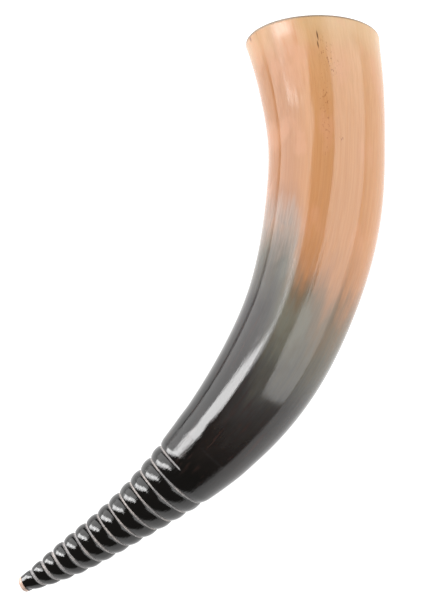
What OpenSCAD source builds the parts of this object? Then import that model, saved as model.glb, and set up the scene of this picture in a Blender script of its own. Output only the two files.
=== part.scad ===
// Shofar: a blowing horn made from one curved cattle horn.
// The wide end is a thin hollow bell, the narrow end is solid, turned into a spiral of rounded
// beads and drilled through, and a small pale mouthpiece is glued into its tip.
// The horn lies on its side, at rest on the plane z = 0, with its bell towards +X.

/* [Which node] */
// The node to build, or all of them

/* [Curve of the horn] */
// Length along the middle of the horn, from the rim to the tip
horn_length = 412; // [350:1:480]
// Heading of the middle line at even stations from the rim to the tip, in degrees off the chord
headings = [43, 30.5, 16.5, -2, -21, -28.5, -37]; // each [-60:0.5:60]
// Outside radius at even stations from the rim to the tip
radii = [40, 38, 35, 35.5, 34, 32, 31.5, 29, 24.5, 19, 14, 12, 4.5]; // each [4:0.5:45]

/* [Bell] */
// How far the sawn rim is off square, in degrees
rim_tilt = 12; // [0:0.5:20]
// Length over which the sections straighten up behind the rim
rim_tilt_reach = 60; // [30:5:100]
// Thickness of the wall at the rim
rim_wall = 3; // [2:0.25:5]
// Width of the softened edges of the rim
rim_edge = 0.6; // [0.2:0.1:1.5]
// Depth of the natural hollow, from the rim
hollow_depth = 245; // [150:5:250]
// How full the hollow is: lower is fuller
hollow_power = 0.45; // [0.3:0.05:1]

/* [Neck] */
// Distance from the rim to the joint between the shell and the neck
joint_place = 270; // [250:1:272]
// Radius of the drilled air channel
channel_r = 2.5; // [1.5:0.25:4]
// Radius of the neck's spigot
spigot_r = 9; // [6:0.5:12]
// Length of the neck's spigot
spigot_length = 14; // [8:1:25]
// Glue gap around and behind the spigot and the tenon
glue_gap = 0.2; // [0.1:0.05:0.5]

/* [Spiral groove] */
// Turns of the groove
groove_turns = 13; // [8:1:16]
// Distance from the rim to the start of the groove's first turn
groove_start = 284.5; // [280:0.5:300]
// Spacing of the first turns
first_pitch = 9.9; // [8:0.1:12]
// Spacing of the last turns
last_pitch = 8.8; // [7:0.1:12]
// Angle around the horn where the first turn starts, in degrees from the outside of the bend
groove_angle = -42; // [-180:1:180]
// Place where the groove starts to deepen, in turns along it
groove_begins = 0.28; // [-0.9:0.02:0.9]
// Length over which the groove deepens, in turns
fade_turns = 0.1; // [0.05:0.05:2]
// Height of the rounded beads between the turns
bead_height = 1.2; // [0.2:0.1:2.5]
// Most that a bead may stand out, as a part of the radius there
bead_share = 0.12; // [0.05:0.01:0.2]
// Depth of the sawn line at the bottom of the groove
groove_cut = 0.5; // [0.2:0.1:1.5]

/* [Mouthpiece] */
// Length of the mouthpiece outside the neck
tip_length = 2.8; // [2:0.1:6]
// Radius of the tenon glued into the neck
tenon_r = 3.2; // [2.8:0.1:4]
// Length of the tenon
tenon_length = 8; // [5:0.5:15]
// Radius of the blow hole
blow_hole_r = 2; // [1.5:0.1:2.5]
// Radius of the shallow cup around the blow hole
cup_r = 3.4; // [2.5:0.1:4]
// Depth of the cup
cup_depth = 1.6; // [0.5:0.1:3]

/* [Rest position] */
// Turn about the chord that lets the horn lie on its side, in degrees
rest_roll = -5.1; // [-20:0.5:20]
// Turn that lowers the tip to the ground, in degrees
rest_pitch = -4.7; // [-20:0.1:20]

/* [Hidden] */
sides = 40;
path_steps = 200;
shell_rings = 44;
hollow_rings = 22;
channel_rings = 16;
// Where the lines of the grooved surface lie, in turns from the bottom of the groove
bead_lines = [-0.045, 0.045, 0.14, 0.27, 0.5, 0.73, 0.86];
// Half the width of the sawn line, in turns: the lines closer than this lie on its floor
floor_half = 0.1;
neck_end = horn_length - tip_length;
tip_edge = 0.4;

// Uniform cubic B-spline through its first and last values, for t from 0 to 1
function padded(v) = concat([2 * v[0] - v[1]], v, [2 * v[len(v) - 1] - v[len(v) - 2]]);
function blend(v, i, f) =
    (pow(1 - f, 3) * v[i] + (3 * pow(f, 3) - 6 * f * f + 4) * v[i + 1]
    + (-3 * pow(f, 3) + 3 * f * f + 3 * f + 1) * v[i + 2] + pow(f, 3) * v[i + 3]) / 6;
function spline_at(v, x) = let (i = min(floor(x), len(v) - 2)) blend(padded(v), i, x - i);
function spline(v, t) = spline_at(v, min(max(t, 0), 1) * (len(v) - 1));

// The middle line, in the plane of the bend. s is the distance from the rim along it.
function heading(s) = spline(headings, s / horn_length);
function outside_r(s) = spline(radii, s / horn_length);
function along(h) = [-cos(h), -sin(h), 0];
function path_step(i) = along(heading((i + 0.5) * horn_length / path_steps));
path = [
    for (i = 0, p = [0, 0, 0]; i <= path_steps; p = p + path_step(i) * horn_length / path_steps, i = i + 1)
        p
];
function middle_at(u) = let (i = min(floor(u), path_steps - 1)) path[i] + (path[i + 1] - path[i]) * (u - i);
function middle(s) = middle_at(s * path_steps / horn_length);

// A point on a section. The angle starts on the outside of the bend and turns towards +Z.
function section_tilt(s) = rim_tilt * pow(max(0, 1 - s / rim_tilt_reach), 2);
function outward(s) = let (h = heading(s) - section_tilt(s)) [sin(h), -cos(h), 0] / cos(section_tilt(s));
function on_section(s, r, angle) = middle(s) + r * (cos(angle) * outward(s) + sin(angle) * [0, 0, 1]);
function ring(s, r) = [for (k = [0:sides - 1]) on_section(s, r, groove_angle + k * 360 / sides)];

// The hollow of the bell narrows to the air channel.
function hollow_r(s) =
    channel_r + (radii[0] - rim_wall - channel_r) * pow(max(0, 1 - s / hollow_depth), hollow_power);
function hollow_place(i) = hollow_depth * (1 - pow(1 - i / hollow_rings, 2));

// Rings given as [distance, radius], joined in order and back to the first
function ring_points(rings) = [for (q = rings) each ring(q[0], q[1])];
function corner(j, k, count) = (j % count) * sides + k % sides;
function quad(a, b, c, d) = [[a, c, b], [a, d, c]];
function loop_faces(count) = [
    for (j = [0:count - 1], k = [0:sides - 1])
        each quad(corner(j, k, count), corner(j, k + 1, count),
            corner(j + 1, k + 1, count), corner(j + 1, k, count))
];

// The spiral groove. A turn number n stands for one place along the horn and one angle around it.
function groove_place(n) =
    groove_start + first_pitch * n - (first_pitch - last_pitch) * n * n / (2 * groove_turns);
function groove_fade(n) = min(max((n - groove_begins) / fade_turns, 0), 1);
function bead(s) = min(bead_height, bead_share * outside_r(s));
// Part of the bead that is cut away, from 1 in the groove to 0 halfway between two turns
function bead_cut(u) = pow(1 - 2 * u, 2);

// The grooved surface has lines that run with the groove, a few to a turn, and columns along the horn.
lines = len(bead_lines);
grid_lines = groove_turns * lines + 4;
function line_shift(j) = bead_lines[j % lines];
function line_turn(j) = floor(j / lines) - 1 + line_shift(j);
function off_groove(shift) = shift > 0.5 ? shift - 1 : shift;
function groove_r(s, n, off) =
    let (fade = groove_fade(n - off), cut = abs(off) < floor_half ? groove_cut : 0)
    outside_r(s) - fade * (bead(s) * bead_cut(abs(off)) + cut);
function grid_point(j, k) =
    let (n = line_turn(j) + k / sides, s = groove_place(n))
    on_section(s, groove_r(s, n, off_groove(line_shift(j))), groove_angle + k * 360 / sides);
// A line's last point is the first point of the line one turn further on, where there is one.
function grid_corner(j, k) =
    k < sides ? j * sides + k
    : j + lines < grid_lines ? (j + lines) * sides
    : grid_lines * sides + j + lines - grid_lines;
grid_points = [
    for (j = [0:grid_lines - 1], k = [0:sides - 1]) grid_point(j, k),
    for (j = [grid_lines - lines:grid_lines - 1]) grid_point(j, sides)
];
grid_faces = [
    for (j = [0:grid_lines - 2], k = [0:sides - 1])
        each quad(grid_corner(j, k), grid_corner(j, k + 1), grid_corner(j + 1, k + 1), grid_corner(j + 1, k))
];

// The shell's surface: down its outside, round the socket, back up the hollow
socket_r = spigot_r + glue_gap;
socket_end = joint_place - spigot_length - glue_gap;
shell_outside = [
    [0, radii[0] - rim_edge],
    for (i = [0:shell_rings])
        let (s = rim_edge + (joint_place - rim_edge) * i / shell_rings) [s, outside_r(s)]
];
shell_inside = [
    [joint_place, socket_r],
    [socket_end, socket_r],
    [socket_end, channel_r],
    for (i = [hollow_rings:-1:1]) let (s = hollow_place(i)) [s, hollow_r(s)],
    [rim_edge, hollow_r(rim_edge)],
    [0, radii[0] - rim_wall + rim_edge]
];
shell_rings_all = concat(shell_outside, shell_inside);

// The neck's surface past the groove: round the tip, down the air channel, round the spigot
hole_r = tenon_r + glue_gap;
hole_end = neck_end - tenon_length - glue_gap;
spigot_end = joint_place - spigot_length;
neck_rings = [
    [neck_end, outside_r(neck_end)],
    [neck_end, hole_r],
    [hole_end, hole_r],
    for (i = [0:channel_rings]) [hole_end + (spigot_end - hole_end) * i / channel_rings, channel_r],
    [spigot_end, spigot_r],
    [joint_place, spigot_r],
    [joint_place, outside_r(joint_place)]
];
ring_start = len(grid_points);
last_ring = ring_start + (len(neck_rings) - 1) * sides;
function neck_corner(j, k) = ring_start + j * sides + k % sides;
neck_faces = concat(
    grid_faces,
    [
        for (k = [0:sides - 1])
            each quad(grid_corner(grid_lines - 1, k), grid_corner(grid_lines - 1, k + 1),
                neck_corner(0, k + 1), neck_corner(0, k))
    ],
    [
        for (i = [1:lines])
            [grid_corner(grid_lines - 1 - i, sides), grid_corner(grid_lines - i, sides), neck_corner(0, 0)]
    ],
    [
        for (j = [0:len(neck_rings) - 2], k = [0:sides - 1])
            each quad(neck_corner(j, k), neck_corner(j, k + 1), neck_corner(j + 1, k + 1), neck_corner(j + 1, k))
    ],
    [
        for (k = [0:sides - 1])
            each quad(last_ring + k, last_ring + (k + 1) % sides, grid_corner(0, k + 1), grid_corner(0, k))
    ],
    [for (i = [0:lines - 1]) [last_ring, grid_corner(i + 1, 0), grid_corner(i, 0)]]
);

// Rest position: turned until it lies on its side, then centred over the origin with z = 0 below it
function rolled(p) =
    [p.x, p.y * cos(rest_roll) - p.z * sin(rest_roll), p.y * sin(rest_roll) + p.z * cos(rest_roll)];
function pitched(p) =
    [p.x * cos(rest_pitch) + p.z * sin(rest_pitch), p.y, p.z * cos(rest_pitch) - p.x * sin(rest_pitch)];
outline = [
    for (p = concat(ring_points(shell_outside), grid_points, ring(horn_length, radii[len(radii) - 1])))
        pitched(rolled(p))
];
function low(axis) = min([for (p = outline) p[axis]]);
function high(axis) = max([for (p = outline) p[axis]]);
rest_shift = [-(low(0) + high(0)) / 2, -(low(1) + high(1)) / 2, -low(2)];

module at_rest() {
    translate(rest_shift)
        rotate([rest_roll, rest_pitch, 0])
            children();
}

module horn_shell() {
    color([0.93, 0.72, 0.55])
        at_rest()
            polyhedron(points = ring_points(shell_rings_all), faces = loop_faces(len(shell_rings_all)));
}

module carved_neck() {
    color([0.13, 0.12, 0.12])
        at_rest()
            polyhedron(points = concat(grid_points, ring_points(neck_rings)), faces = neck_faces);
}

// The mouthpiece is turned about the neck's axis at its end, with z = 0 on the end face of the neck.
module mouthpiece_profile() {
    tip_r = radii[len(radii) - 1];
    polygon([
        [blow_hole_r, -tenon_length],
        [tenon_r, -tenon_length],
        [tenon_r, 0],
        [outside_r(neck_end), 0],
        [tip_r, tip_length - tip_edge],
        [tip_r - tip_edge, tip_length],
        [cup_r, tip_length],
        [blow_hole_r, tip_length - cup_depth]
    ]);
}

module mouthpiece() {
    color([0.80, 0.62, 0.47])
        at_rest()
            translate(middle(neck_end))
                rotate([0, 90, 180 + heading(neck_end)])
                    rotate_extrude($fn = 64)
                        mouthpiece_profile();
}

horn_shell();
carved_neck();
mouthpiece();
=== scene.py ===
"""Looks of the shofar: a polished horn with a carved neck, lying on a pale floor in soft studio light."""

import math

import bpy
import numpy as np
from mathutils import Matrix, Vector


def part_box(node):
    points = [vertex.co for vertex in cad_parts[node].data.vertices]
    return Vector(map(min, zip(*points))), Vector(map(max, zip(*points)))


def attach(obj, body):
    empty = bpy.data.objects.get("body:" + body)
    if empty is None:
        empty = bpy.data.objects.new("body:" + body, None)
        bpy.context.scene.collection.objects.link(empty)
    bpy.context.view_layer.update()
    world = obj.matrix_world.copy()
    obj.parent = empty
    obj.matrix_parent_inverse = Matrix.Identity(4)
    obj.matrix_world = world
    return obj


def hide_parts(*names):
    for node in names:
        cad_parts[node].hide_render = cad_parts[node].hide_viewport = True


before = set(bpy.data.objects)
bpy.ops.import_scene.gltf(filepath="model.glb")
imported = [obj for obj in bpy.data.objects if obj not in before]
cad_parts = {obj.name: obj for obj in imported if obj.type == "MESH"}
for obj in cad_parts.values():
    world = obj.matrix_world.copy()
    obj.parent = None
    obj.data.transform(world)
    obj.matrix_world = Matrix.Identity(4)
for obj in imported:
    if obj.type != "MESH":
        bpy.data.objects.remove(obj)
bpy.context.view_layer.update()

MM = 0.001

# ---------------------------------------------------------------- the horn's shape, as in the CAD model
HORN_LENGTH = 412 * MM
HEADINGS = [43, 30.5, 16.5, -2, -21, -28.5, -37]
RADII = [r * MM for r in (40, 38, 35, 35.5, 34, 32, 31.5, 29, 24.5, 19, 14, 12, 4.5)]
RIM_TILT = 12
RIM_TILT_REACH = 60 * MM
RIM_WALL = 3 * MM
RIM_EDGE = 0.9 * MM
HOLLOW_DEPTH = 245 * MM
HOLLOW_POWER = 0.45
CHANNEL_R = 2.5 * MM
JOINT_PLACE = 270 * MM
GROOVE_TURNS = 13
GROOVE_START = 284.5 * MM
FIRST_PITCH = 9.9 * MM
LAST_PITCH = 8.8 * MM
GROOVE_ANGLE = -42
GROOVE_BEGINS = 0.28
FADE_TURNS = 0.08
BEAD_HEIGHT = 1.2 * MM
BEAD_SHARE = 0.12
GROOVE_CUT = 0.5 * MM
TIP_LENGTH = 2.8 * MM
NECK_END = HORN_LENGTH - TIP_LENGTH
REST_ROLL = -5.1
REST_PITCH = -4.7
PATH_STEPS = 824
# Where the scraped flats lie around the horn, how wide they are, and how far they lean from rim to neck
FLATS = [(84, 15, [3, 4, 0, -2, 1, 4, 6, 7, 4, -1, -3]), (58, 13, [2, 3, 0, 0, 2, 5, 6, 2, 1, 2, 0]),
         (-35, 16, [0, 2, 3, -2, -3, 2, 3, 1, 0]), (-120, 18, [1, -2, 3, 3, -1, -3, 2, 0]),
         (165, 17, [0, 3, -2, 2, 3, -1, -2, 0])]
# A shallow scraped hollow below the rim
DENT_PLACE = 63 * MM
DENT_ANGLE = 96
DENT_LENGTH = 15 * MM
DENT_WIDTH = 11
DENT_DEPTH = 0.6 * MM
# The groove's sawn floor and its sides, as shares of a turn; it widens from GROOVE_WIDENS onwards
FLOOR_HALF_WIDTH = 0.045
FLOOR_WIDENING = 0.045
GROOVE_WIDENS = 330 * MM
WIDENING_LENGTH = 70 * MM
SIDE_WIDTH = 0.035
FULL_CUT_R = 12 * MM
GROOVE_END_FADE = 0.2
# Rings this close to a hard edge keep the smooth shading from rounding it
GUARD = 0.05 * MM
SOCKET_R = 3.4 * MM
SOCKET_DEPTH = 8 * MM
SHELL_COLUMNS = 144
NECK_COLUMNS = 128
TIP_COLUMNS = 72


def spline(values, t):
    """Uniform cubic B-spline through its first and last values, for t from 0 to 1."""
    v = np.concatenate([[2 * values[0] - values[1]], values, [2 * values[-1] - values[-2]]])
    x = np.clip(t, 0, 1) * (len(values) - 1)
    i = np.minimum(x.astype(int), len(values) - 2)
    f = x - i
    return ((1 - f) ** 3 * v[i] + (3 * f ** 3 - 6 * f ** 2 + 4) * v[i + 1]
            + (-3 * f ** 3 + 3 * f ** 2 + 3 * f + 1) * v[i + 2] + f ** 3 * v[i + 3]) / 6


def heading(s):
    return spline(HEADINGS, s / HORN_LENGTH)


def outside_r(s):
    return spline(RADII, s / HORN_LENGTH)


def middle_path():
    step = HORN_LENGTH / PATH_STEPS
    h = np.radians(heading((np.arange(PATH_STEPS) + 0.5) * step))
    moves = np.stack([-np.cos(h), -np.sin(h), 0 * h], axis=-1) * step
    return np.concatenate([np.zeros((1, 3)), np.cumsum(moves, axis=0)])


PATH = middle_path()
PATH_S = np.linspace(0, HORN_LENGTH, PATH_STEPS + 1)
TO_REST = np.array(Matrix.Rotation(math.radians(REST_PITCH), 3, "Y")
                   @ Matrix.Rotation(math.radians(REST_ROLL), 3, "X"))


def on_section(s, r, angle):
    """Points at distance s from the rim, radius r and angle from the outside of the bend, before shifting."""
    s, r, angle = np.broadcast_arrays(s, r, angle)
    mid = np.stack([np.interp(s, PATH_S, PATH[:, k]) for k in range(3)], axis=-1)
    tilt = np.radians(RIM_TILT * np.maximum(0, 1 - s / RIM_TILT_REACH) ** 2)
    h = np.radians(heading(s)) - tilt
    side = np.stack([np.sin(h), -np.cos(h), 0 * h], axis=-1) / np.cos(tilt)[..., None]
    a = np.radians(angle)[..., None]
    return (mid + r[..., None] * (np.cos(a) * side + np.sin(a) * np.array([0, 0, 1]))) @ TO_REST.T


def rest_shift():
    """Moves the posed horn to where the CAD shell is: the centres of their boxes meet."""
    s, angle = np.meshgrid(np.linspace(0, JOINT_PLACE, 300), np.arange(0, 360, 2), indexing="ij")
    points = on_section(s, outside_r(s), angle).reshape(-1, 3)
    low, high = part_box("horn_shell")
    centre = (points.min(0) + points.max(0)) / 2
    return (np.array(low) + np.array(high)) / 2 - centre


SHIFT = rest_shift()


def hollow_r(s):
    narrowing = np.maximum(0, 1 - s / HOLLOW_DEPTH) ** HOLLOW_POWER
    return CHANNEL_R + (RADII[0] - RIM_WALL - CHANNEL_R) * narrowing


def groove_place(n):
    return GROOVE_START + FIRST_PITCH * n - (FIRST_PITCH - LAST_PITCH) * n * n / (2 * GROOVE_TURNS)


def groove_turn(s):
    """The turn number at distance s: groove_place turned round."""
    n = np.linspace(-2, GROOVE_TURNS + 2, 1500)
    return np.interp(s, groove_place(n), n)


def smooth(x):
    x = np.clip(x, 0, 1)
    return x * x * (3 - 2 * x)


def neck_relief(s, angle):
    """How far the spiral cuts into the neck, and how much a point lies on the groove's sawn floor."""
    n = groove_turn(s) - (angle - GROOVE_ANGLE) / 360
    nearest = np.round(n)
    off = np.abs(n - nearest)
    place = nearest + (angle - GROOVE_ANGLE) / 360
    fade = smooth((place - GROOVE_BEGINS) / FADE_TURNS)
    fade = fade * smooth((GROOVE_TURNS + 0.3 - place) / GROOVE_END_FADE)
    bead = np.minimum(BEAD_HEIGHT, BEAD_SHARE * outside_r(s))
    half_width = FLOOR_HALF_WIDTH + FLOOR_WIDENING * smooth((s - GROOVE_WIDENS) / WIDENING_LENGTH)
    wall = smooth((half_width + SIDE_WIDTH - off) / SIDE_WIDTH)
    cut = GROOVE_CUT * np.minimum(1, outside_r(s) / FULL_CUT_R) * wall
    return fade * (bead * (1 - 2 * off) ** 2 + cut), fade * wall


# ---------------------------------------------------------------- meshes
def add_object(name, points, faces, straight, extra):
    """A smooth mesh object with its straightened points and other values kept for the materials."""
    mesh = bpy.data.meshes.new(name)
    mesh.from_pydata([tuple(p) for p in points], [], faces)
    mesh.polygons.foreach_set("use_smooth", [True] * len(mesh.polygons))
    layer = mesh.attributes.new("straight", "FLOAT_VECTOR", "POINT")
    layer.data.foreach_set("vector", np.asarray(straight, dtype=np.float32).ravel())
    for key, values in extra.items():
        layer = mesh.attributes.new(key, "FLOAT", "POINT")
        layer.data.foreach_set("value", np.asarray(values, dtype=np.float32).ravel())
    mesh.validate()
    obj = bpy.data.objects.new(name, mesh)
    bpy.context.scene.collection.objects.link(obj)
    return obj


def straightened(s, r, angle):
    """Where a point would be if the horn were straight: its grain runs along the first axis."""
    a = np.radians(angle)
    return np.stack(np.broadcast_arrays(s, r * np.cos(a), r * np.sin(a)), axis=-1)


def grid_faces(rows, columns):
    """Quads between rows of points, closed both ways round."""
    faces = []
    for j in range(rows):
        for k in range(columns):
            a = j * columns
            b = (j + 1) % rows * columns
            faces.append((a + k, b + k, b + (k + 1) % columns, a + (k + 1) % columns))
    return faces


def ring_mesh(name, rings, columns, outside, relief):
    """rings is a list of (distance, radius), the first ones outside; relief(s, angle) is what is cut away."""
    inside = (np.arange(len(rings)) >= outside)[:, None]
    s = np.array([q[0] for q in rings])[:, None]
    r = np.array([q[1] for q in rings])[:, None]
    angle = GROOVE_ANGLE + np.arange(columns)[None, :] * 360 / columns
    s, r, angle = np.broadcast_arrays(s, r, angle)
    cut, mask = relief(s, angle)
    cut[outside:] = 0
    mask[outside:] = 0
    points = on_section(s, r - cut, angle) + SHIFT
    straight = straightened(s, r, angle)
    faces = grid_faces(len(rings), columns)
    extra = {"groove": mask, "bend_side": np.cos(np.radians(angle)), "inside": inside * np.ones(s.shape)}
    return add_object(name, points.reshape(-1, 3), faces, straight.reshape(-1, 3), extra)


def flat(s, angle, place, width, turns):
    """A scraped flat along the horn at one angle: turns are the degrees that it turns the surface there."""
    off = np.radians(angle - place)
    lean = np.radians(spline(turns, s / JOINT_PLACE))
    return lean * outside_r(s) * off * np.exp(-(off / math.radians(width)) ** 2)


def waviness(s, angle):
    """The slight unevenness of a hand-scraped horn, in metres, as what is scraped away."""
    angle = (angle + 180) % 360 - 180
    a = np.radians(angle)
    long_wave = np.sin(s / 0.031 + 2 * np.cos(a + 0.7)) * np.cos(2 * a + s / 0.05)
    short_wave = np.sin(s / 0.013 + 3 * np.sin(a)) * np.sin(3 * a + 1.3)
    wave = (0.35 + 0.08 * long_wave + 0.03 * short_wave) * MM
    for place, width, turns in FLATS:
        wave = wave + flat(s, angle, place, width, turns)
    dent = ((s - DENT_PLACE) / DENT_LENGTH) ** 2 + ((angle - DENT_ANGLE) / DENT_WIDTH) ** 2
    wave = wave + DENT_DEPTH * np.exp(-dent)
    fade = smooth(s / 0.012) * smooth((JOINT_PLACE - s) / 0.012)
    return wave * fade


def rounded_rim():
    """The rim's section from outside to inside, as (distance, radius)."""
    r_out, r_in = RADII[0], RADII[0] - RIM_WALL
    corner = np.radians(np.linspace(0, 90, 6))
    outer = [(RIM_EDGE * (1 - math.sin(c)), r_out - RIM_EDGE * (1 - math.cos(c))) for c in corner]
    inner = [(RIM_EDGE * (1 - math.cos(c)), r_in + RIM_EDGE * (1 - math.sin(c))) for c in corner]
    return outer, inner


def make_shell():
    """The sheath: rounded rim, scraped outside, flat end at the joint and the hollow inside."""
    outer, inner = rounded_rim()
    rings = outer[::-1]
    places = np.append(np.linspace(RIM_EDGE, JOINT_PLACE, 190)[1:-1], [JOINT_PLACE - GUARD, JOINT_PLACE])
    rings += list(zip(places, outside_r(places)))
    outside = len(rings)
    rings += [(JOINT_PLACE, CHANNEL_R + GUARD), (JOINT_PLACE - 5 * MM, CHANNEL_R)]
    depth = HOLLOW_DEPTH * (1 - (1 - np.linspace(1, 0, 50)) ** 2)
    rings += list(zip(depth[:-1], hollow_r(depth[:-1])))
    rings += inner[::-1]
    return ring_mesh("horn_shell_skin", rings, SHELL_COLUMNS, outside,
                     lambda s, angle: (waviness(s, angle), 0 * s))


def make_neck():
    """The neck: the spiral outside, then the tip's socket and the channel."""
    places = np.concatenate([[JOINT_PLACE, JOINT_PLACE + GUARD],
                             np.linspace(JOINT_PLACE, NECK_END, 460)[1:-1], [NECK_END - GUARD, NECK_END]])
    rings = list(zip(places, outside_r(places)))
    outside = len(rings)
    rings += [(NECK_END, SOCKET_R), (NECK_END - SOCKET_DEPTH, SOCKET_R),
              (NECK_END - SOCKET_DEPTH, CHANNEL_R), (JOINT_PLACE, CHANNEL_R)]
    return ring_mesh("carved_neck_skin", rings, NECK_COLUMNS, outside, neck_relief)


def make_mouthpiece():
    """A turned tip: rounded lip, shallow cup, throat and tenon."""
    tip_r, base_r = RADII[-1], float(outside_r(np.array(NECK_END)))
    cup_r, hole_r, cup_depth = 3.4 * MM, 2.0 * MM, 1.6 * MM
    tenon_r, tenon_length = 3.2 * MM, 8 * MM
    edge, base_edge = 1.0 * MM, 0.25 * MM
    profile = [(hole_r, -tenon_length), (tenon_r, -tenon_length), (tenon_r, 0), (base_r - base_edge, 0),
               (base_r, base_edge)]
    side = np.linspace(base_edge, TIP_LENGTH - edge, 6)[1:]
    profile += [(base_r + (tip_r - base_r) * z / TIP_LENGTH, z) for z in side]
    corner = np.radians(np.linspace(0, 90, 7))[1:]
    profile += [(tip_r - edge + edge * math.cos(c), TIP_LENGTH - edge + edge * math.sin(c)) for c in corner]
    lip = np.linspace(0, 1, 9)
    profile += [(cup_r + (hole_r - cup_r) * t, TIP_LENGTH - cup_depth * t ** 0.8) for t in lip]
    profile += [(hole_r, TIP_LENGTH - cup_depth - 1 * MM)]
    angle = np.arange(TIP_COLUMNS) * 2 * math.pi / TIP_COLUMNS
    r = np.array([p[0] for p in profile])[:, None]
    z = np.array([p[1] for p in profile])[:, None] + 0 * angle
    base = on_section(NECK_END, 0, 0)
    h = math.radians(float(heading(np.array(NECK_END))))
    axis = TO_REST @ np.array([-math.cos(h), -math.sin(h), 0])
    side_x = TO_REST @ np.array([math.sin(h), -math.cos(h), 0])
    side_y = TO_REST @ np.array([0, 0, 1])
    points = (base + SHIFT + z[..., None] * axis + (r * np.cos(angle))[..., None] * side_x
              + (r * np.sin(angle))[..., None] * side_y)
    straight = np.stack([NECK_END + z, r * np.cos(angle), r * np.sin(angle)], axis=-1)
    faces = grid_faces(len(profile), TIP_COLUMNS)
    return add_object("mouthpiece_skin", points.reshape(-1, 3), faces, straight.reshape(-1, 3),
                      {"inside": (r < hole_r + GUARD) * np.ones(z.shape)})


# ---------------------------------------------------------------- materials
# The horn's own colour at distances from the rim, in millimetres
COLOR_REACH = 300 * MM
HORN_COLORS = [
    (0, (0.49, 0.300, 0.155)),
    (27, (0.48, 0.258, 0.120)),
    (51, (0.455, 0.228, 0.100)),
    (135, (0.43, 0.208, 0.093)),
    (153, (0.37, 0.185, 0.093)),
    (163.5, (0.25, 0.145, 0.085)),
    (172.5, (0.155, 0.115, 0.078)),
    (192, (0.105, 0.094, 0.073)),
    (210, (0.072, 0.068, 0.058)),
    (231, (0.033, 0.030, 0.029)),
    (261, (0.011, 0.0085, 0.0075)),
    (285, (0.003, 0.0025, 0.002)),
]
# Brown flaws, each with its place in mm, its angle, and its length and width in mm: scattered specks
# that show only where the fine noise is high, and solid ones for the notch in the rim and two cracks
SPECKS = [(35, 58, 7, 5), (77, 57, 3, 2), (30, 66, 22, 6), (2.5, 128, 3, 2.5), (62, 72, 40, 4),
          (40, -100, 9, 5), (22, -40, 7, 3), (64, 200, 8, 3)]
SOLID_FLAWS = [(2.4, 141, 2.4, 1.8), (14, 71, 5, 0.7), (20, 72, 4, 0.6)]
HORN_IOR = 1.54
FLOOR_SIZE = 3.0
GLOW_CENTRE = (0.2, -0.1, 0)


class Nodes:
    """A few short ways to add shader nodes and link them."""

    def __init__(self, name):
        self.material = bpy.data.materials.new(name)
        self.material.use_nodes = True
        self.tree = self.material.node_tree
        self.shader = self.tree.nodes["Principled BSDF"]

    def add(self, kind, **settings):
        node = self.tree.nodes.new("ShaderNode" + kind)
        for key, value in settings.items():
            setattr(node, key, value)
        return node

    def put(self, socket, value):
        if hasattr(value, "is_output"):
            self.tree.links.new(value, socket)
        else:
            socket.default_value = value

    def math(self, operation, a, b):
        node = self.add("Math", operation=operation)
        self.put(node.inputs[0], a)
        self.put(node.inputs[1], b)
        return node.outputs[0]

    def scale(self, vector, factors):
        node = self.add("VectorMath", operation="MULTIPLY")
        self.put(node.inputs[0], vector)
        self.put(node.inputs[1], factors)
        return node.outputs[0]

    def noise(self, vector, scale, detail=3.0, roughness=0.55):
        node = self.add("TexNoise")
        self.put(node.inputs["Vector"], vector)
        node.inputs["Scale"].default_value = scale
        node.inputs["Detail"].default_value = detail
        node.inputs["Roughness"].default_value = roughness
        return node.outputs["Fac"]

    def spread(self, value, low, high, to_low=0.0, to_high=1.0):
        node = self.add("MapRange", interpolation_type="SMOOTHSTEP")
        self.put(node.inputs["Value"], value)
        for key, number in (("From Min", low), ("From Max", high), ("To Min", to_low), ("To Max", to_high)):
            node.inputs[key].default_value = number
        return node.outputs["Result"]

    def ramp(self, value, stops):
        node = self.add("ValToRGB")
        self.put(node.inputs["Fac"], value)
        elements = node.color_ramp.elements
        while len(elements) < len(stops):
            elements.new(0.5)
        for element, (position, color) in zip(elements, stops):
            element.position = position
            element.color = (*color, 1)
        return node.outputs["Color"]

    def mix(self, factor, a, b, blend="MIX"):
        node = self.add("Mix", data_type="RGBA", blend_type=blend)
        self.put(node.inputs["Factor"], factor)
        self.put(node.inputs["A"], (*a, 1) if isinstance(a, tuple) else a)
        self.put(node.inputs["B"], (*b, 1) if isinstance(b, tuple) else b)
        return node.outputs["Result"]

    def attribute(self, name):
        return self.add("Attribute", attribute_name=name)


def bump(n, height, distance):
    node = n.add("Bump")
    node.inputs["Distance"].default_value = distance
    node.inputs["Strength"].default_value = 1.0
    n.put(node.inputs["Height"], height)
    n.put(n.shader.inputs["Normal"], node.outputs["Normal"])


def blemish(n, place, s, angle, length, width):
    """A soft spot on the outside, s from the rim and at angle, as a factor from 0 to 1."""
    a = math.radians(angle)
    r = float(outside_r(np.array(s)))
    off = n.add("VectorMath", operation="SUBTRACT")
    n.put(off.inputs[0], place)
    off.inputs[1].default_value = (s, r * math.cos(a), r * math.sin(a))
    size = n.add("VectorMath", operation="LENGTH")
    n.put(size.inputs[0], n.scale(off.outputs[0], (1 / length, 1 / width, 1 / width)))
    return n.spread(size.outputs["Value"], 0.2, 1.0, 1.0, 0.0)


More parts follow.
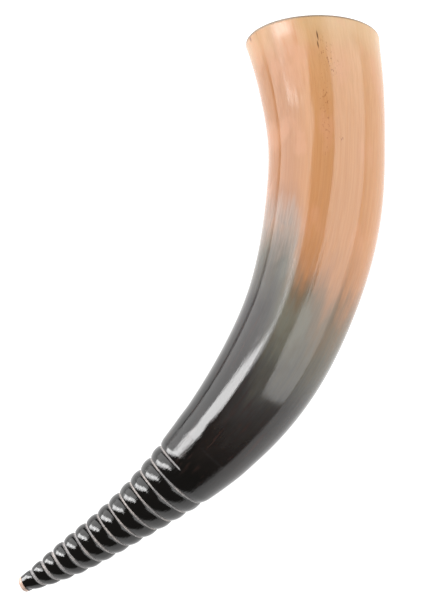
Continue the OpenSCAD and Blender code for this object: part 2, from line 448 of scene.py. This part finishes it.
def horn_color_with_bend_shade(n, place):
    """The horn's own colour, peach to olive grey to black, darker on the inside of the bend partly as painted
    shade, and the values that it was made from.
    """
    parts = n.add("SeparateXYZ")
    n.put(parts.inputs[0], place)
    along = parts.outputs[0]
    bend_side = n.attribute("bend_side").outputs["Fac"]
    fibres = n.noise(n.scale(place, (14, 420, 420)), 1.0, detail=4, roughness=0.6)
    strands = n.noise(n.scale(place, (28, 1300, 1300)), 1.0, detail=3, roughness=0.6)
    clouds = n.noise(n.scale(place, (26, 60, 60)), 1.0, detail=4, roughness=0.5)

    # the grey starts earlier on the inside of the bend, which is also darker and pinker: partly the horn's
    # own colour and partly painted shade
    inner_side = n.spread(bend_side, 0.30, -0.20)
    early = n.math("MULTIPLY", inner_side, 0.043)
    ragged = n.math("ADD", n.math("MULTIPLY", n.math("SUBTRACT", fibres, 0.5), 0.022),
                    n.math("MULTIPLY", n.math("SUBTRACT", clouds, 0.5), 0.050))
    travelled = n.math("ADD", n.math("ADD", along, early), ragged)
    base = n.ramp(n.math("DIVIDE", travelled, COLOR_REACH), [
        (place_mm * MM / COLOR_REACH, color) for place_mm, color in HORN_COLORS])

    # the inside of the bend made darker and pinker: partly the horn's own colour and partly painted shade
    base = n.mix(n.spread(bend_side, 0.10, -0.40), base, n.mix(1.0, base, (0.80, 0.76, 0.78), "MULTIPLY"))

    # long fibres, lighter and darker, and a pale cloud of them where the grey starts inside the bend
    fine = n.mix(n.spread(strands, 0.3, 0.7), (0.95, 0.94, 0.93), (1.04, 1.05, 1.06))
    coarse = n.mix(n.spread(fibres, 0.3, 0.6), (0.97, 0.93, 0.87), (1.0, 1.0, 1.0))
    base = n.mix(1.0, n.mix(1.0, base, fine, "MULTIPLY"), coarse, "MULTIPLY")
    cloud_place = n.math("MULTIPLY", n.spread(travelled, 0.146, 0.166), n.spread(travelled, 0.200, 0.168))
    cloud = n.math("MULTIPLY", n.math("MULTIPLY", cloud_place, inner_side),
                   n.spread(strands, 0.36, 0.66, 0.25, 0.45))
    base = n.mix(cloud, base, (0.46, 0.36, 0.31))
    # lighter olive mottling in the grey, reddish streaks in the black
    grey = n.math("MULTIPLY", n.spread(travelled, 0.170, 0.185), n.spread(travelled, 0.225, 0.20))
    base = n.mix(n.math("MULTIPLY", grey, n.spread(clouds, 0.50, 0.68, 0.0, 0.45)), base, (0.17, 0.17, 0.135))
    black = n.math("MULTIPLY", n.spread(travelled, 0.215, 0.235), n.spread(fibres, 0.54, 0.70, 0.0, 0.5))
    base = n.mix(n.math("MULTIPLY", black, n.spread(along, 0.292, 0.280)), base, (0.040, 0.020, 0.016))
    return base, along, fibres, strands, clouds


def horn_material():
    """Polished horn of the bell and body, with its rim, specks and dull inside."""
    n = Nodes("polished_horn")
    place = n.attribute("straight").outputs["Vector"]
    base, along, fibres, strands, clouds = horn_color_with_bend_shade(n, place)

    # the first centimetres: yellower, with an amber patch and a few brown flaws
    yellow = n.spread(along, 0.026, 0.004, 0.0, 0.45)
    base = n.mix(n.math("MULTIPLY", yellow, n.spread(clouds, 0.35, 0.6, 0.3, 1.0)), base, (0.55, 0.39, 0.21))
    amber = blemish(n, place, 12 * MM, 98, 20 * MM, 12 * MM)
    base = n.mix(n.math("MULTIPLY", amber, n.spread(fibres, 0.38, 0.62, 0.3, 0.9)), base, (0.40, 0.14, 0.035))
    specks = n.noise(n.scale(place, (500, 900, 900)), 1.0, detail=2)
    for s, angle, length, width in SPECKS:
        spot = n.math("MULTIPLY", blemish(n, place, s * MM, angle, length * MM, width * MM),
                      n.spread(specks, 0.59, 0.68, 0.0, 0.75))
        base = n.mix(spot, base, (0.20, 0.070, 0.030))
    for s, angle, length, width in SOLID_FLAWS:
        spot = n.math("MULTIPLY", blemish(n, place, s * MM, angle, length * MM, width * MM), 0.9)
        base = n.mix(spot, base, (0.07, 0.028, 0.014))
    pinker = n.math("MULTIPLY", n.spread(clouds, 0.48, 0.62, 0.0, 0.35), n.spread(along, 0.15, 0.12))
    base = n.mix(pinker, base, (0.52, 0.255, 0.145))
    sawn = n.spread(along, 1.9 * MM, 0.9 * MM)
    base = n.mix(sawn, base, n.mix(strands, (0.15, 0.11, 0.07), (0.30, 0.22, 0.15)))
    inside = n.attribute("inside").outputs["Fac"]
    hollow = n.mix(n.spread(clouds, 0.3, 0.7), (0.20, 0.12, 0.06), (0.34, 0.23, 0.13))
    base = n.mix(n.math("MULTIPLY", inside, 0.75), base, hollow)

    n.put(n.shader.inputs["Base Color"], base)
    gloss = n.spread(fibres, 0.3, 0.7, 0.05, 0.12)
    dull = n.math("MAXIMUM", n.math("MULTIPLY", n.math("MAXIMUM", inside, sawn), 0.5),
                  n.spread(along, 0.045, 0.010, 0.0, 0.24))
    n.put(n.shader.inputs["Roughness"], n.math("MAXIMUM", gloss, dull))
    n.shader.inputs["IOR"].default_value = HORN_IOR
    n.shader.inputs["Subsurface Weight"].default_value = 0.12
    n.shader.inputs["Subsurface Radius"].default_value = (1.0, 0.45, 0.25)
    n.shader.inputs["Subsurface Scale"].default_value = 0.004
    bump(n, n.math("ADD", n.math("MULTIPLY", fibres, 1.0), n.math("MULTIPLY", strands, 0.25)), 0.00006)
    return n.material


def neck_material():
    """Black polished horn with a pale sawn line at the bottom of the groove."""
    n = Nodes("dark_horn")
    place = n.attribute("straight").outputs["Vector"]
    base, _, fibres, strands, clouds = horn_color_with_bend_shade(n, place)
    floor = n.spread(n.attribute("groove").outputs["Fac"], 0.35, 0.85)
    worn = n.mix(n.spread(clouds, 0.35, 0.65), (0.25, 0.24, 0.24), (0.40, 0.36, 0.34))
    base = n.mix(n.math("MULTIPLY", floor, n.spread(strands, 0.3, 0.6, 0.55, 1.0)), base, worn)
    n.put(n.shader.inputs["Base Color"], base)
    n.put(n.shader.inputs["Roughness"], n.math("MAXIMUM", n.spread(fibres, 0.3, 0.7, 0.05, 0.14),
                                               n.math("MULTIPLY", floor, 0.6)))
    n.shader.inputs["IOR"].default_value = HORN_IOR
    bump(n, n.math("ADD", fibres, n.math("MULTIPLY", strands, 0.5)), 0.00012)
    return n.material


def tip_material():
    """Pale grained horn, with the wall of the blow hole painted near black as painted shade."""
    n = Nodes("pale_horn")
    place = n.attribute("straight").outputs["Vector"]
    grain = n.noise(n.scale(place, (60, 500, 500)), 1.0)
    pale = n.mix(grain, (0.38, 0.24, 0.18), (0.60, 0.44, 0.36))
    # the wall of the blow hole is painted near black: painted shade inside the hole
    hole = n.attribute("inside").outputs["Fac"]
    n.put(n.shader.inputs["Base Color"], n.mix(hole, pale, (0.03, 0.015, 0.01)))
    n.shader.inputs["Roughness"].default_value = 0.3
    return n.material


def floor_material():
    """A plain pale floor that glows softly, as a sheet lit from all round does, a little more close under the
    horn: painted light that fills in the horn's shadow.
    """
    n = Nodes("studio_floor")
    n.shader.inputs["Base Color"].default_value = (0.2, 0.2, 0.2, 1)
    n.shader.inputs["Roughness"].default_value = 1.0
    n.shader.inputs["Specular IOR Level"].default_value = 0
    n.shader.inputs["Emission Color"].default_value = (1, 1, 1, 1)
    away = n.add("VectorMath", operation="DISTANCE")
    n.put(away.inputs[0], n.add("TexCoord").outputs["Object"])
    away.inputs[1].default_value = GLOW_CENTRE
    # stronger glow within 0.3 m of the horn: painted light that fills in the horn's shadow on the floor
    shadow_fill_glow = n.spread(away.outputs["Value"], 0.08, 0.30, 1.08, 1.02)
    n.put(n.shader.inputs["Emission Strength"],
          n.math("MULTIPLY", shadow_fill_glow, n.spread(away.outputs["Value"], 0.6, 0.8, 1.0, 0.2)))
    return n.material


# ---------------------------------------------------------------- build
shell = make_shell()
shell.data.materials.append(horn_material())
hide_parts("horn_shell")
neck = make_neck()
neck.data.materials.append(neck_material())
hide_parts("carved_neck")
tip = make_mouthpiece()
tip.data.materials.append(tip_material())
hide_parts("mouthpiece")
for piece in (shell, neck, tip):
    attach(piece, "root")


def make_floor():
    half = FLOOR_SIZE / 2
    mesh = bpy.data.meshes.new("floor")
    corners = [(-half, -half, 0), (half, -half, 0), (half, half, 0), (-half, half, 0)]
    mesh.from_pydata(corners, [], [(0, 1, 2, 3)])
    floor = bpy.data.objects.new("floor", mesh)
    bpy.context.scene.collection.objects.link(floor)
    floor.data.materials.append(floor_material())


make_floor()

# ---------------------------------------------------------------- camera
CAMERA_AZIMUTH = -21.46
CAMERA_ELEVATION = 66.99
CAMERA_ROLL = 40.63
CAMERA_DISTANCE = 1.246
SENSOR_HEIGHT = 36
LENS = 123.57
AIM_RIGHT = 27.8 * MM
AIM_UP = 6.7 * MM


def camera_axes():
    """The directions right, up and back of the camera."""
    az, el, roll = (math.radians(a) for a in (CAMERA_AZIMUTH, CAMERA_ELEVATION, CAMERA_ROLL))
    back = Vector((math.sin(az) * math.cos(el), -math.cos(az) * math.cos(el), math.sin(el)))
    right = Vector((math.cos(az), math.sin(az), 0))
    up = back.cross(right)
    return (right * math.cos(roll) - up * math.sin(roll),
            right * math.sin(roll) + up * math.cos(roll), back)


RIGHT, UP, BACK = camera_axes()
ENDS = on_section(np.array([0, HORN_LENGTH]), 0, 0) + SHIFT
CENTRE = Vector(ENDS.mean(axis=0))


def look(obj, location, right, up, back):
    obj.matrix_world = Matrix.Translation(location) @ Matrix((right, up, back)).transposed().to_4x4()


def make_camera():
    data = bpy.data.cameras.new("camera")
    data.sensor_fit = "VERTICAL"
    data.sensor_height = SENSOR_HEIGHT
    data.lens = LENS
    camera = bpy.data.objects.new("camera", data)
    bpy.context.scene.collection.objects.link(camera)
    look(camera, CENTRE + RIGHT * AIM_RIGHT + UP * AIM_UP + BACK * CAMERA_DISTANCE, RIGHT, UP, BACK)
    bpy.context.scene.camera = camera


make_camera()


# ---------------------------------------------------------------- light
def panel(name, azimuths, elevations, radiance, turn=0, distance=2.0):
    """A flat soft light that fills a window of directions, in degrees right of and above the view line."""
    az = math.radians(sum(azimuths) / 2)
    el = math.radians(sum(elevations) / 2)
    towards = (RIGHT * math.sin(az) + BACK * math.cos(az)) * math.cos(el) + UP * math.sin(el)
    side = RIGHT * math.cos(az) - BACK * math.sin(az)
    top = towards.cross(side)
    t = math.radians(turn)
    side, top = side * math.cos(t) + top * math.sin(t), top * math.cos(t) - side * math.sin(t)
    data = bpy.data.lights.new(name, "AREA")
    data.shape = "RECTANGLE"
    data.size = 2 * distance * math.tan(math.radians((azimuths[1] - azimuths[0]) / 2))
    data.size_y = 2 * distance * math.tan(math.radians((elevations[1] - elevations[0]) / 2))
    data.energy = radiance * math.pi * data.size * data.size_y
    light = bpy.data.objects.new(name, data)
    bpy.context.scene.collection.objects.link(light)
    look(light, CENTRE + towards * distance, side, top, towards)


panel("left_key", (-74, -43), (6, 23), 11, turn=8)
panel("near_key", (-106, -68), (-6, 11), 9, distance=0.62)
panel("left_fill", (-108, -40), (8, 56), 2.6, distance=2.2)
panel("right_fill", (11, 96), (-34, 44), 2.8, turn=-19)

world = bpy.data.worlds.new("world")
bpy.context.scene.world = world
world.use_nodes = True
background = world.node_tree.nodes["Background"]
background.inputs["Color"].default_value = (1, 1, 1, 1)
background.inputs["Strength"].default_value = 0.1
bpy.context.scene.view_settings.view_transform = "Standard"
